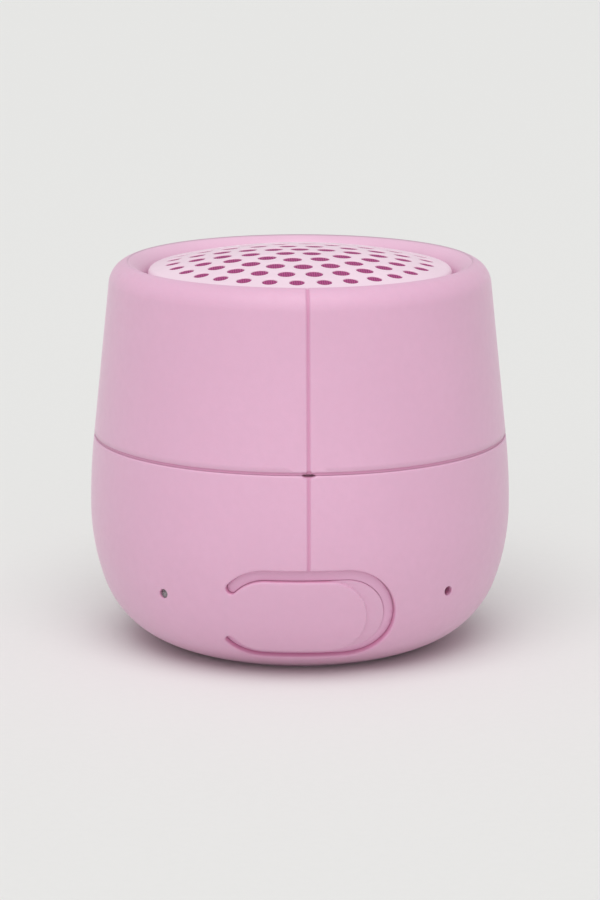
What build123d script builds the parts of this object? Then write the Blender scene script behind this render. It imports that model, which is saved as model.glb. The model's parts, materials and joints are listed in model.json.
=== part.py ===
from build123d import *
import os
from math import cos, radians, sin, sqrt, tan

os.makedirs("parts", exist_ok=True)

# A pocket shower speaker: a squat round body in two soft skins over two hard shells, a domed
# perforated grille on top, a moulded-in flap over the charging socket at the front, and a power
# button under the base. The origin is the middle of the foot ring, on the surface that it stands
# on. +Z is up, the flap faces -Y and +X is on its right. All lengths are in millimetres.

# Driving dimensions of the body
body_radius = 27.0
skin_thickness = 1.2
wall = 1.8
parting_height = 26.83
running_gap = 0.05
cover_gap = 0.15

# The outline of the body climbs from the foot as tangent arcs: radius, first and last heading
foot_arc = (12.3, 5.5, 70.5)
belly_arc = (29.0, 70.5, 90.0)
waist_arc = (80.0, 90.0, 96.0)
taper_length = 20.5
shoulder_arc = (3.1, 96.0, 166.0)
lip_arc = (3.0, 195.0, 268.0)

# Seams moulded into the skins
seam_radius = 0.27
score_width = 0.44
score_depth = 0.22
back_score_end = 2.5
cross_half_width = 0.65
cross_half_height = 0.85

# Charging-port flap, seen from the front: a slot with round ends, left open at the hinge
flap_left = -5.3
flap_right = 4.7
flap_height = 8.69
flap_radius = 4.96
flap_slot_width = 1.24
pad_right = 2.3
ledge_depth = 0.5
slot_end_top = 139.5
slot_end_bottom = 220.5
hinge_x = -9.2
hinge_radius = 0.35
hinge_depth = 0.45
hinge_room = 1.2
hinge_relief = (5.2, 12.6)

# Charging socket
port_x = -1.2
port_width = 8.94
port_thickness = 3.26
port_front = -22.6
port_length = 10.0
port_wall = 0.35

# Pinholes for the light and the microphone
pinhole_angle = 43.4
pinhole_height = 10.3
pinhole_radius = 0.65

# Base
foot_inner = 12.0
foot_outer = 16.4
skin_first_heading = 14.0
button_radius = 5.0
button_bottom = 0.5
button_flange = 6.2

# Circuit board and what holds it
board_bottom = 6.0
board_top = 7.0
board_radius = 17.3
screw_circle = 14.43
screw_angles = (30, 150, 210, 330)
column_radius = 2.2
column_top = 35.0

# Battery
tray_bottom = 13.0
tray_top = 14.0
battery_size = (19.0, 30.0, 7.0)
battery_pad_height = 0.5

# Driver and grille
shelf_bottom = 43.4
shelf_top = 44.6
gasket_height = 0.4
flange_height = 1.0
flange_radius = 18.2
driver_screw_circle = 16.4
motor_top = 37.6
grille_radius = 19.4
grille_apex = 50.65
dome_radius = 80.0
grille_thickness = 0.5
mesh_thickness = 0.25
skirt_thickness = 1.0
hole_rings = (
    (0.0, 1, 0.0, 1.2),
    (3.36, 6, 24.4, 1.2),
    (6.72, 12, -10.3, 1.2),
    (10.06, 18, 0.0, 1.2),
    (13.22, 24, 5.4, 1.1),
    (16.22, 30, -3.6, 0.95),
)


def save(node, *solids):
    shape = solids[0] if len(solids) == 1 else Compound(list(solids))
    export_step(shape, f"parts/{node}.step")


def arc_step(arc, inset=0.0):
    """Move along an arc from its first heading to its last: sideways and up."""
    radius, first, last = arc
    radius = radius - inset
    across = radius * (sin(radians(last)) - sin(radians(first)))
    up = radius * (cos(radians(first)) - cos(radians(last)))
    return across, up


# Centre of the foot arc in the half section
foot_center = Vector(
    body_radius - arc_step(belly_arc)[0] - foot_arc[0] * sin(radians(foot_arc[2])),
    foot_arc[0] * cos(radians(foot_arc[1])),
)


def foot_point(heading, inset=0.0):
    """The point of the foot arc at this heading, moved inwards by inset."""
    radius = foot_arc[0] - inset
    return foot_center + Vector(radius * sin(radians(heading)), -radius * cos(radians(heading)))


def outline(inset=0.0, first_heading=foot_arc[1]):
    """The outer outline, moved inwards by inset: its edges, and its first and last points."""
    here = foot_point(first_heading, inset)
    first = here
    edges = []
    for arc in ((foot_arc[0], first_heading, foot_arc[2]), belly_arc, waist_arc, None, shoulder_arc):
        if arc is None:
            slope = radians(waist_arc[2])
            there = here + Vector(taper_length * cos(slope), taper_length * sin(slope))
            edges.append(Line(here, there))
        else:
            middle = (arc[1] + arc[2]) / 2
            through = here + Vector(*arc_step((arc[0], arc[1], middle), inset))
            there = here + Vector(*arc_step(arc, inset))
            edges.append(ThreePointArc(here, through, there))
        here = there
    return edges, first, here


def turned(*edges):
    """A solid of revolution about the body's axis from the edges of its half section."""
    return revolve(Plane.XZ * make_face(list(edges)), Axis.Z)


def turned_polygon(*points):
    return turned(*Polyline(*points, close=True).edges())


def ring(inner, outer, bottom, top):
    return turned_polygon((inner, bottom), (outer, bottom), (outer, top), (inner, top))


def band(outer_inset, inner_inset, first_heading=foot_arc[1]):
    """The layer of the body between two insets."""
    outer_edges, outer_first, outer_last = outline(outer_inset, first_heading)
    inner_edges, inner_first, inner_last = outline(inner_inset, first_heading)
    ends = [Line(inner_first, outer_first), Line(outer_last, inner_last)]
    return turned(*outer_edges, *inner_edges, *ends)


def core(inset):
    """Everything inside the outline at this inset."""
    edges, first, last = outline(inset)
    ends = [Line((0, first.Y), first), Line(last, (0, last.Y)), Line((0, last.Y), (0, first.Y))]
    return turned(*edges, *ends)


def block(x_range, y_range, z_range):
    size = [pair[1] - pair[0] for pair in (x_range, y_range, z_range)]
    middle = [sum(pair) / 2 for pair in (x_range, y_range, z_range)]
    return Pos(*middle) * Box(*size)


def post(x, y, radius, bottom, top):
    return Pos(x, y, (bottom + top) / 2) * Cylinder(radius, top - bottom)


def spoke(angle, radius, height, inner, outer):
    """A round bar that points out from the axis; angle is from the front towards +X."""
    bar = Pos(0, -(inner + outer) / 2, height) * Rot(90, 0, 0) * Cylinder(radius, outer - inner)
    return Rot(0, 0, angle) * bar


def around(angle, radius):
    return radius * cos(radians(angle)), radius * sin(radians(angle))


def front_slot(left, right, radius, first_y, last_y, height=flap_height):
    """A prism with round ends, seen from the front, between two depths."""
    shape = Pos((left + right) / 2, height) * SlotCenterToCenter(right - left, 2 * radius)
    return extrude(Plane.XZ.offset(-first_y) * shape, first_y - last_y)


def port_slot(width, thickness, first_y, last_y):
    """A prism of the charging socket's own shape."""
    half = (width - thickness) / 2
    middle = board_top + port_thickness / 2
    return front_slot(port_x - half, port_x + half, thickness / 2, first_y, last_y, middle)


parting_cut = Pos(0, 0, parting_height + 50) * Box(200, 200, 100)
screw_places = [around(angle, screw_circle) for angle in screw_angles]
floor_bottom = foot_point(foot_arc[1], skin_thickness).Y
floor_top = foot_point(foot_arc[1], skin_thickness + wall).Y

# Seams: the ring seam between the skins, the scored lines at front and back, and their crossing
whole_edges, *outline_ends = outline()
ridge = outline_ends[1]
waist_slope = tan(radians(waist_arc[2] - 90))
taper_foot = whole_edges[3].position_at(0)
seam_radius_at = taper_foot.X - (parting_height - taper_foot.Y) * waist_slope
ring_seam = Pos(0, 0, parting_height) * Torus(seam_radius_at, seam_radius)
score_band = band(-score_depth, score_depth)
half_score = score_width / 2
front_score_end = flap_height + flap_radius
front_score = score_band & block((-half_score, half_score), (-40, 0), (front_score_end, 60))
back_score = score_band & block((-half_score, half_score), (0, 40), (back_score_end, 60))
cross_plane = Plane((0, -seam_radius_at - 0.05, parting_height), x_dir=(1, 0, 0), z_dir=(0, 1, 0))
cross_shape = Polygon(
    (-cross_half_width, 0), (0, -cross_half_height), (cross_half_width, 0), (0, cross_half_height)
)
seam_cross = extrude(cross_plane * cross_shape, 0.4, taper=35)
seams = [ring_seam, front_score, back_score, seam_cross]

# Flap opening in the lower skin: the slot round the flap, and the space of the flap itself
slot_radius = flap_radius + flap_slot_width
slot_mean = flap_radius + flap_slot_width / 2
front_depth = -body_radius - 3
flap_middle = Pos((flap_left + flap_right) / 2, flap_height)
flap_shape = flap_middle * SlotCenterToCenter(flap_right - flap_left, 2 * flap_radius)
slot_shape = flap_middle * SlotCenterToCenter(flap_right - flap_left, 2 * slot_radius) - flap_shape
reach = 2 * slot_radius
gap_corners = [(flap_left, flap_height)]
slot_ends = []
for angle in (slot_end_top, slot_end_bottom):
    across, up = around(angle, 1)
    gap_corners.append((flap_left + reach * across, flap_height + reach * up))
    end_place = Pos(flap_left + slot_mean * across, flap_height + slot_mean * up)
    slot_ends.append(end_place * Circle(flap_slot_width / 2))
slot_shape = slot_shape - Polygon(*gap_corners, align=None) + slot_ends
hinge_cut = Pos(hinge_x - hinge_room - 10, flap_height) * Rectangle(20, 20)
relief_middle = Pos(hinge_x - hinge_room / 2 + 0.15, sum(hinge_relief) / 2)
relief_shape = relief_middle * Rectangle(hinge_room + 0.3, hinge_relief[1] - hinge_relief[0])
opening_shape = slot_shape + (flap_shape - hinge_cut) + relief_shape
flap_opening = [extrude(Plane.XZ.offset(15) * opening_shape, -15 - front_depth)]
pinholes = [
    spoke(side * pinhole_angle, pinhole_radius, pinhole_height, 15, body_radius + 3)
    for side in (-1, 1)
]

# Skins
skin = band(0, skin_thickness, skin_first_heading)
upper_skin = (skin & parting_cut) - seams
save("upper_skin", upper_skin)
lower_skin = skin - parting_cut - seams - flap_opening - pinholes
save("lower_skin", lower_skin)

# Upper shell: wall, lip round the grille, shelf for the driver, and four columns on webs
inner_edges, *inner_ends = outline(skin_thickness)
lip_width, lip_drop = arc_step(lip_arc)
lip_half = arc_step((lip_arc[0], lip_arc[1], (lip_arc[1] + lip_arc[2]) / 2))
lip_end = ridge + Vector(lip_width, lip_drop)
lip_middle = ridge + Vector(*lip_half)


def wall_radius(height, inset):
    """Radius of the straight taper at this height and inset."""
    return taper_foot.X - (height - taper_foot.Y) * waist_slope - inset / cos(radians(6))


shell_inset = skin_thickness + wall
inner_shoulder = inner_edges[4]
upper_shell = turned(
    Line((wall_radius(parting_height, skin_thickness), parting_height), inner_shoulder.position_at(0)),
    inner_shoulder,
    Line(inner_ends[1], ridge),
    ThreePointArc(ridge, lip_middle, lip_end),
    Line(lip_end, (lip_end.X, shelf_top)),
    Line((lip_end.X, shelf_top), (15.2, shelf_top)),
    Line((15.2, shelf_top), (15.2, shelf_bottom)),
    Line((15.2, shelf_bottom), (wall_radius(shelf_bottom, shell_inset), shelf_bottom)),
    Line(
        (wall_radius(shelf_bottom, shell_inset), shelf_bottom),
        (wall_radius(parting_height, shell_inset), parting_height),
    ),
    Line(
        (wall_radius(parting_height, shell_inset), parting_height),
        (wall_radius(parting_height, skin_thickness), parting_height),
    ),
)
web_limit = core(shell_inset - 0.1)
for angle, (x, y) in zip(screw_angles, screw_places):
    web = Pos(screw_circle + 5, 0, column_top - 3.5) * Box(10, 1.2, 7)
    upper_shell += (Rot(0, 0, angle) * web) & web_limit
    upper_shell += post(x, y, column_radius, board_top, column_top)
for x, y in screw_places:
    upper_shell -= post(x, y, 1.02, board_top - 1, board_top + 7)
driver_screw_places = [around(angle, driver_screw_circle) for angle in (0, 90, 180, 270)]
for x, y in driver_screw_places:
    upper_shell -= post(x, y, 0.67, shelf_bottom - 1, shelf_top + 1)
save("upper_shell", upper_shell)

# Lower shell: wall, floor, bosses under the board, posts for the tray and the socket's window
lower_shell = band(skin_thickness, shell_inset) - parting_cut
lower_shell += turned_polygon(
    (0, floor_bottom),
    (foot_point(foot_arc[1], skin_thickness).X, floor_bottom),
    (foot_point(foot_arc[1], shell_inset).X, floor_top),
    (0, floor_top),
)
for x, y in screw_places:
    lower_shell += post(x, y, 2.5, floor_top - 0.5, board_bottom)
for side in (-1, 1):
    rest = block(sorted((side * 17.8, side * 24)), (-3, 3), (floor_top - 0.5, tray_bottom))
    lower_shell += rest & web_limit
    lower_shell -= post(side * 19.6, 0, 0.72, tray_bottom - 5, tray_bottom + 1)
for x, y in screw_places:
    lower_shell -= post(x, y, 1.15, 0, board_bottom + 1)
    lower_shell -= post(x, y, 2.1, 0, 2.5)
lower_shell -= post(0, 0, button_radius + 0.1, 0, floor_top + 1)
seal_groove = ring(23.95, 24.85, parting_height - 0.85, parting_height + 1)
lower_shell = lower_shell - seal_groove - pinholes
window_width = port_width + 1.5
window_thickness = port_thickness + 1.5
lower_shell -= port_slot(window_width, window_thickness, -18, front_depth)
seal_recess = port_slot(12.6, 6.6, -20, front_depth) - core(skin_thickness + 0.5)
lower_shell -= seal_recess
save("lower_shell", lower_shell)
save("housing_seal", Pos(0, 0, parting_height - 0.43) * Torus(24.4, 0.42))

housing_screws = []
for x, y in screw_places:
    screw = post(x, y, 1.9, 1.3, 2.45) + post(x, y, 1.0, 2.4, board_top + 5)
    screw -= Pos(x, y, 1.5) * extrude(RegularPolygon(0.8, 6), 0.8, both=True)
    housing_screws.append(screw)
save("housing_screws", *housing_screws)

# Foot ring and power button
foot = ring(foot_inner, foot_outer, 0, floor_bottom - 0.01)
foot = fillet(foot.edges().group_by(Axis.Z)[0], 0.35)
save("foot_ring", foot)
button = post(0, 0, button_radius, button_bottom, 3.1) + post(0, 0, button_flange, 3.06, 3.7)
button -= ring(4.5, 6, 1.8, 2.4)
button_dish = Pos(0, 0, button_bottom - 19.7) * Sphere(20)
button = fillet((button - button_dish).edges().group_by(Axis.Z)[0], 0.3)
save("power_button", button)
save("button_seal", Pos(0, 0, 2.1) * Torus(4.8, 0.27))
plunger_bottom = 3.75
switch_bottom = 4.5
tact_switch = block((-2.3, 2.3), (-2.3, 2.3), (switch_bottom, board_bottom))
tact_switch -= post(0, 0, 1.2, switch_bottom - 1, switch_bottom + 1.1)
save("tact_switch", tact_switch)
save("switch_plunger", post(0, 0, 1.12, plunger_bottom, switch_bottom + 0.6))

# Circuit board and its parts
board = post(0, 0, board_radius, board_bottom, board_top)
board += block((-7, 5), (-19, -8), (board_bottom, board_top))
for x, y in screw_places:
    board -= post(x, y, 1.2, board_bottom - 1, board_top + 1)
save("main_board", board)
save("wireless_module", block((-4, 9), (-0.5, 8.5), (board_top, board_top + 2.2)))
save("amplifier_chip", block((-11, -7), (-1, 3), (board_top, board_top + 0.9)))
save("charger_chip", block((-6, -3), (-11, -8), (board_top, board_top + 0.9)))
inductor = block((0, 4), (-9, -5), (board_top, board_top + 2))
save("power_inductor", fillet(inductor.edges() | Axis.Z, 0.8))
cans = [post(x, y, 2, board_top, board_top + 4) for x, y in ((7.5, -4.6), (-7.5, -4.6))]
save("board_capacitors", *cans)
passives = []
for place in range(5):
    y = -2 + 1.5 * place
    passives.append(block((-12.6, -12), (y, y + 1), (board_top, board_top + 0.5)))
save("board_passives", *passives)
save("antenna_chip", block((-2.5, 2.5), (14, 16), (board_top, board_top + 0.8)))
save("speaker_connector", block((-10.5, -6.5), (10, 13), (board_top, board_top + 2.5)))
save("battery_connector", block((6, 10), (11, 14), (board_top, board_top + 2.5)))

# Charging socket
port_back = port_front + port_length
socket = port_slot(port_width, port_thickness, port_back, port_front)
socket -= port_slot(
    port_width - 2 * port_wall,
    port_thickness - 2 * port_wall,
    port_back - port_wall,
    port_front - 1,
)
save("charging_socket", socket)
port_height = board_top + port_thickness / 2
tongue = block(
    (port_x - 3.35, port_x + 3.35),
    (port_front + 1.4, port_back - 2),
    (port_height - 0.35, port_height + 0.35),
)
tongue += port_slot(
    port_width - 2 * port_wall - 0.06,
    port_thickness - 2 * port_wall - 0.06,
    port_back - port_wall,
    port_back - 2.4,
)
save("socket_tongue", tongue)
port_gasket = port_slot(window_width - 0.04, window_thickness - 0.04, port_front + 2.2, port_front + 1.2)
port_gasket -= port_slot(port_width + 0.04, port_thickness + 0.04, port_front + 3, port_front)
save("port_gasket", port_gasket)

# Status light and microphone
led_circle = 16.2
led = Rot(0, 0, -pinhole_angle) * block((-0.8, 0.8), (-led_circle - 0.6, -led_circle + 0.6), (7, 7.8))
save("status_led", led)
pipe = spoke(-pinhole_angle, pinhole_radius - 0.05, pinhole_height, led_circle - 0.6, 25.6)
pipe_leg = block((-0.75, 0.75), (-led_circle - 0.75, -led_circle + 0.75), (7.85, pinhole_height + 0.6))
pipe += Rot(0, 0, -pinhole_angle) * pipe_leg
save("light_pipe", pipe)
boot = spoke(pinhole_angle, 2.5, pinhole_height, 19.6, 21.6)
boot += spoke(pinhole_angle, 1.1, pinhole_height, 21.5, 22.6)
boot -= spoke(pinhole_angle, 1.95, pinhole_height, 19, 21.0)
boot -= spoke(pinhole_angle, 0.5, pinhole_height, 20.5, 23)
save("microphone_boot", boot)
save("microphone", spoke(pinhole_angle, 1.9, pinhole_height, 19.4, 20.9))

# Battery and its tray
tray = block((-10.1, 10.1), (-15.6, 15.6), (tray_bottom, tray_top))
tray += block((-21, 21), (-3.5, 3.5), (tray_bottom, tray_top))
half_x = battery_size[0] / 2 + running_gap
half_y = battery_size[1] / 2 + running_gap
fence = block((-10.1, 10.1), (-15.6, 15.6), (tray_top, tray_top + 3))
tray += fence - block((-half_x, half_x), (-half_y, half_y), (tray_top, tray_top + 3))
for side in (-1, 1):
    tray -= post(side * 19.6, 0, 0.85, tray_bottom - 1, tray_top + 1)
save("battery_tray", tray)
tray_screws = []
for side in (-1, 1):
    head = post(side * 19.6, 0, 1.4, tray_top, tray_top + 0.9)
    tray_screws.append(head + post(side * 19.6, 0, 0.7, tray_top - 5, tray_top + 0.1))
save("tray_screws", *tray_screws)
save("battery_pad", block((-9, 9), (-14, 14), (tray_top, tray_top + battery_pad_height)))
battery_bottom = tray_top + battery_pad_height
battery_top = battery_bottom + battery_size[2]
battery = Pos(0, 0, (battery_bottom + battery_top) / 2) * Box(*battery_size)
battery = fillet(battery.edges() | Axis.Y, 1.4)
save("battery_cell", battery)

# Driver: fixed parts
flange_bottom = shelf_top + gasket_height
flange_top = flange_bottom + flange_height
basket = turned_polygon(
    (5.9, motor_top),
    (10.6, motor_top),
    (14.6, 44.4),
    (14.6, flange_bottom),
    (flange_radius, flange_bottom),
    (flange_radius, flange_top),
    (13.6, flange_top),
    (13.6, 44.6),
    (11.4, 40.9),
    (11.4, 40.2),
    (10.0, 40.2),
    (9.2, 38.5),
    (5.9, 38.5),
)
for angle in (45, 135, 225, 315):
    basket -= Rot(0, 0, angle) * block((9.5, 20), (-3.5, 3.5), (41.2, 44.2))
for x, y in driver_screw_places:
    basket -= post(x, y, 0.75, flange_bottom - 1, flange_top + 1)
save("driver_basket", basket)
driver_gasket = ring(15.2, 18.1, shelf_top, flange_bottom)
driver_screws = []
for x, y in driver_screw_places:
    driver_gasket -= post(x, y, 0.75, shelf_top - 1, flange_top)
    screw = post(x, y, 1.3, flange_top, flange_top + 0.8)
    screw += post(x, y, 0.65, 42.8, flange_top + 0.1)
    screw -= Pos(x, y, flange_top + 0.8) * Box(1.8, 0.35, 0.7)
    screw -= Pos(x, y, flange_top + 0.8) * Box(0.35, 1.8, 0.7)
    driver_screws.append(screw)
save("driver_gasket", driver_gasket)
save("driver_screws", *driver_screws)
yoke = ring(5.65, 8.5, 30.5, motor_top) + ring(0, 8.5, 30.5, 32)
yoke = fillet(yoke.edges().group_by(Axis.Z)[0], 0.6)
save("yoke_cup", yoke)
save("driver_magnet", ring(0, 4.5, 32, 36))
save("pole_plate", ring(0, 4.7, 36, motor_top))
save("terminal_strip", block((-3, 3), (9, 10.2), (motor_top - 3, motor_top)))

# Driver: moving parts, and the two soft rings that carry them
cone = turned_polygon((5.05, 41.45), (5.05, 41.95), (10.8, 45.25), (10.8, 44.75))
save("speaker_cone", cone)
cap_radius = 9.5
cap_rim_height = 42.22
cap_center = Pos(0, 0, 44 - cap_radius)
dust_cap = cap_center * Sphere(cap_radius) - cap_center * Sphere(cap_radius - 0.3)
save("dust_cap", dust_cap & block((-6, 6), (-6, 6), (cap_rim_height, 45)))
save("coil_former", ring(4.85, 5.05, 35.6, 41.7))
save("voice_coil", ring(5.05, 5.4, 35.6, 38.1))
spider = turned_polygon(
    (5.3, 40.8), (5.3, 41.1), (10.0, 40.55), (11.3, 40.55), (11.3, 40.2), (10.0, 40.2)
)
save("spider", spider)
surround = turned(
    Line((14.6, flange_top), (14.6, 46.3)),
    Line((14.6, 46.3), (13.2, 46.3)),
    ThreePointArc((13.2, 46.3), (12.1, 44.95), (10.95, 45.4)),
    Line((10.95, 45.4), (10.95, 45.05)),
    ThreePointArc((10.95, 45.05), (12.1, 44.65), (13.55, flange_top)),
    Line((13.55, flange_top), (14.6, flange_top)),
)
save("surround", surround)

# Grille and the cloth behind it


def dome_height(radius, depth=0.0):
    """Height of the dome at this radius, at a depth below its outer face."""
    return grille_apex - dome_radius + sqrt((dome_radius - depth) ** 2 - radius ** 2)


def dome_arc(radius, depth):
    ends = [(radius, dome_height(radius, depth)), (radius / 2, dome_height(radius / 2, depth))]
    return ThreePointArc(ends[0], ends[1], (0, dome_height(0, depth)))


skirt_inner = grille_radius - skirt_thickness
grille = turned(
    dome_arc(grille_radius, 0),
    Line((0, dome_height(0)), (0, dome_height(0, grille_thickness))),
    dome_arc(skirt_inner, grille_thickness),
    Line((skirt_inner, dome_height(skirt_inner, grille_thickness)), (skirt_inner, shelf_top)),
    Line((skirt_inner, shelf_top), (grille_radius, shelf_top)),
    Line((grille_radius, shelf_top), (grille_radius, dome_height(grille_radius))),
)
rim_edge = grille.edges().filter_by(lambda edge: edge.center().Z > 48 and edge.radius > 19)
grille = fillet(rim_edge, 0.5)
holes = []
for ring_radius, count, phase, hole_radius in hole_rings:
    for number in range(count):
        x, y = around(phase - 90 + 360 * number / count, ring_radius)
        holes.append(post(x, y, hole_radius, 45, 52))
grille = grille - holes
save("speaker_grille", grille)
mesh_radius = skirt_inner - 0.2
mesh_depth = grille_thickness + mesh_thickness
grille_mesh = turned(
    dome_arc(mesh_radius, grille_thickness),
    Line((0, dome_height(0, grille_thickness)), (0, dome_height(0, mesh_depth))),
    dome_arc(mesh_radius, mesh_depth),
    Line(
        (mesh_radius, dome_height(mesh_radius, mesh_depth)),
        (mesh_radius, dome_height(mesh_radius, grille_thickness)),
    ),
)
save("grille_mesh", grille_mesh)

# Charging-port flap, with its ledge, its plug and the round root that it swings on
flap_panel = band(0, skin_thickness - cover_gap)
flap_cut = block((-40, hinge_x), (-40, 0), (-5, 30))
pad = front_slot(flap_left, pad_right, flap_radius - 0.02, -15, front_depth) - flap_cut
ledge = front_slot(flap_left, flap_right, flap_radius, -15, front_depth) - flap_cut
flap = (band(ledge_depth, skin_thickness - cover_gap) & ledge) + (flap_panel & pad)


def hinge_point(height):
    """The place at this height on the hinge line, which lies under the lower body's face."""
    radius = foot_center.X + sqrt(
        (foot_arc[0] - hinge_depth) ** 2 - (foot_center.Y - height) ** 2
    )
    return Vector(hinge_x, -sqrt(radius ** 2 - hinge_x ** 2), height)


hinge_reach = 2.7
hinge_low = hinge_point(flap_height - hinge_reach)
hinge_high = hinge_point(flap_height + hinge_reach)
hinge_middle = (hinge_low + hinge_high) * 0.5
hinge_axis = (hinge_high - hinge_low).normalized()
root_plane = Plane(hinge_middle, z_dir=hinge_axis)
hinge_length = (hinge_high - hinge_low).length
flap += root_plane * Cylinder(hinge_radius, hinge_length)
plug = port_slot(7.3, 1.7, port_front + 0.9, -26)
flap += plug & core(skin_thickness - cover_gap - 0.1)
save("port_flap", flap)

# Leads inside the body, each a tube of one radius along straight runs joined by arcs
lead_radius = 0.4


def lead(*points):
    """A round lead whose corners are as large as their runs allow."""
    corners = [Vector(*point) for point in points]
    radii = []
    for before, here, after in zip(corners, corners[1:], corners[2:]):
        turn = (here - before).get_angle(after - here)
        shorter = min((here - before).length, (after - here).length)
        radii.append(0.45 * shorter / tan(radians(turn / 2)))
    path = FilletPolyline(*corners, radius=radii)
    start = Plane(path.position_at(0), z_dir=path.tangent_at(0))
    return sweep(start * Circle(lead_radius), path)


terminal_bottom = motor_top - 3
plug_height = board_top + 1.25
save("speaker_lead_red", lead(
    (-1.8, 9.6, terminal_bottom), (-1.8, 9.6, 30.4), (-3.0, 17.6, 26.5),
    (-6.0, 19.0, 18.0), (-9.3, 18.6, 8.6), (-9.3, 13.0, plug_height)))
save("speaker_lead_black", lead(
    (1.8, 9.6, terminal_bottom), (1.8, 9.6, 30.4), (0.0, 17.8, 26.3),
    (-4.4, 19.6, 17.8), (-7.7, 19.4, 8.6), (-7.7, 13.0, plug_height)))
battery_exit = battery_top - 2
save("battery_lead_red", lead(
    (4.0, 15.0, battery_exit), (4.0, 20.0, battery_exit), (5.6, 20.6, 13.5),
    (7.2, 19.4, 8.6), (7.2, 14.0, plug_height)))
save("battery_lead_black", lead(
    (6.4, 15.0, battery_exit), (6.4, 19.4, battery_exit), (7.6, 19.9, 13.5),
    (8.8, 18.6, 8.6), (8.8, 14.0, plug_height)))
save("microphone_leads", *[
    Rot(0, 0, pinhole_angle) * lead((x, -19.4, 10.3), (x, -15.4, 10.3), (x, -15.4, board_top))
    for x in (-0.7, 0.7)])
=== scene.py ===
"""The finished surfaces of a pocket shower speaker, made over its packed frame."""
import json
import math
from types import SimpleNamespace

import bmesh
import bpy
from bpy.props import FloatProperty, FloatVectorProperty, IntProperty, PointerProperty
from mathutils import Matrix, Vector
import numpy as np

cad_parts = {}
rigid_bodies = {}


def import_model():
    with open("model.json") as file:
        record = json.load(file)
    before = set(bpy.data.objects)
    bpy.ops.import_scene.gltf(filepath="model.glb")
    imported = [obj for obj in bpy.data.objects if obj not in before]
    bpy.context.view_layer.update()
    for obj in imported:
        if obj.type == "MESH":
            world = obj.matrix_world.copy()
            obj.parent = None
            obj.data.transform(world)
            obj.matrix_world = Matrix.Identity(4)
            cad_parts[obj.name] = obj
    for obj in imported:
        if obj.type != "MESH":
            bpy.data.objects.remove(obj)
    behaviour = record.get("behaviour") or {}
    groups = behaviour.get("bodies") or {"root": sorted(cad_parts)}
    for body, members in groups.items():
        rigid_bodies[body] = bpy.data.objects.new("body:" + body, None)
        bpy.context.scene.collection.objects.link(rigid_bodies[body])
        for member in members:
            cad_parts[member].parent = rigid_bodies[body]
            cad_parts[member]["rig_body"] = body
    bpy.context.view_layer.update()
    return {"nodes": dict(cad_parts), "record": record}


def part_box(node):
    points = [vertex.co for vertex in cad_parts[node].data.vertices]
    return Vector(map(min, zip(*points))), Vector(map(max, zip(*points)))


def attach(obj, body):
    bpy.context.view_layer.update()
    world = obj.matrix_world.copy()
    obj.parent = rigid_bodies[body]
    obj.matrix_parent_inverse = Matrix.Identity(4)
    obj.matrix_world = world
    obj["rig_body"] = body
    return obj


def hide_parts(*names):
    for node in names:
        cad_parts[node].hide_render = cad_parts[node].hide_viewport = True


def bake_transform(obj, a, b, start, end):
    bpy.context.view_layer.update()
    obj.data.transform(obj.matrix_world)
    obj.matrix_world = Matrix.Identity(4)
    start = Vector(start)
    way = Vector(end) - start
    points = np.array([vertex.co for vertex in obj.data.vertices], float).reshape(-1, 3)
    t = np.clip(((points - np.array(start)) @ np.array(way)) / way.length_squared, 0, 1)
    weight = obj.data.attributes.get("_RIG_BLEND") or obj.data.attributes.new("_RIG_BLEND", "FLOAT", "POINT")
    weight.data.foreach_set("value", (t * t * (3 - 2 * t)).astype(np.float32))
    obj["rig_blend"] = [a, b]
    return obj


bl_info = {
    "name": "Shower Speaker",
    "version": (1, 0, 0),
    "blender": (4, 5, 0),
    "location": "View3D > Sidebar > Speaker",
    "description": "Builds the skins, flap, grille, base and finishes of a pocket shower speaker",
    "category": "Object",
}

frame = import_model()
MM = 0.001
# The window that the front sheets fill: its turn to each side, and its heights in millimetres
WINDOW = {"turn": math.radians(53), "low": 1.3, "high": 16.6}
# Half width of the strip that the scored lines and their dimple lie in, in millimetres
STRIP = 1.6
# Headings, in degrees from +X towards +Z, at which the outline's arcs begin and the last one ends
HEADINGS = {"foot": 5.5, "skin": 14.0, "belly": 70.5, "waist": 90.0, "taper": 96.0, "shoulder": 166.0}


def length(name, description, default, **limits):
    return FloatProperty(
        name=name, description=description, default=default, unit="LENGTH", subtype="DISTANCE",
        precision=6, **limits)


def colour(name, description, default):
    return FloatVectorProperty(
        name=name, description=description, default=default, subtype="COLOR", size=3, min=0, max=1)


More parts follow.
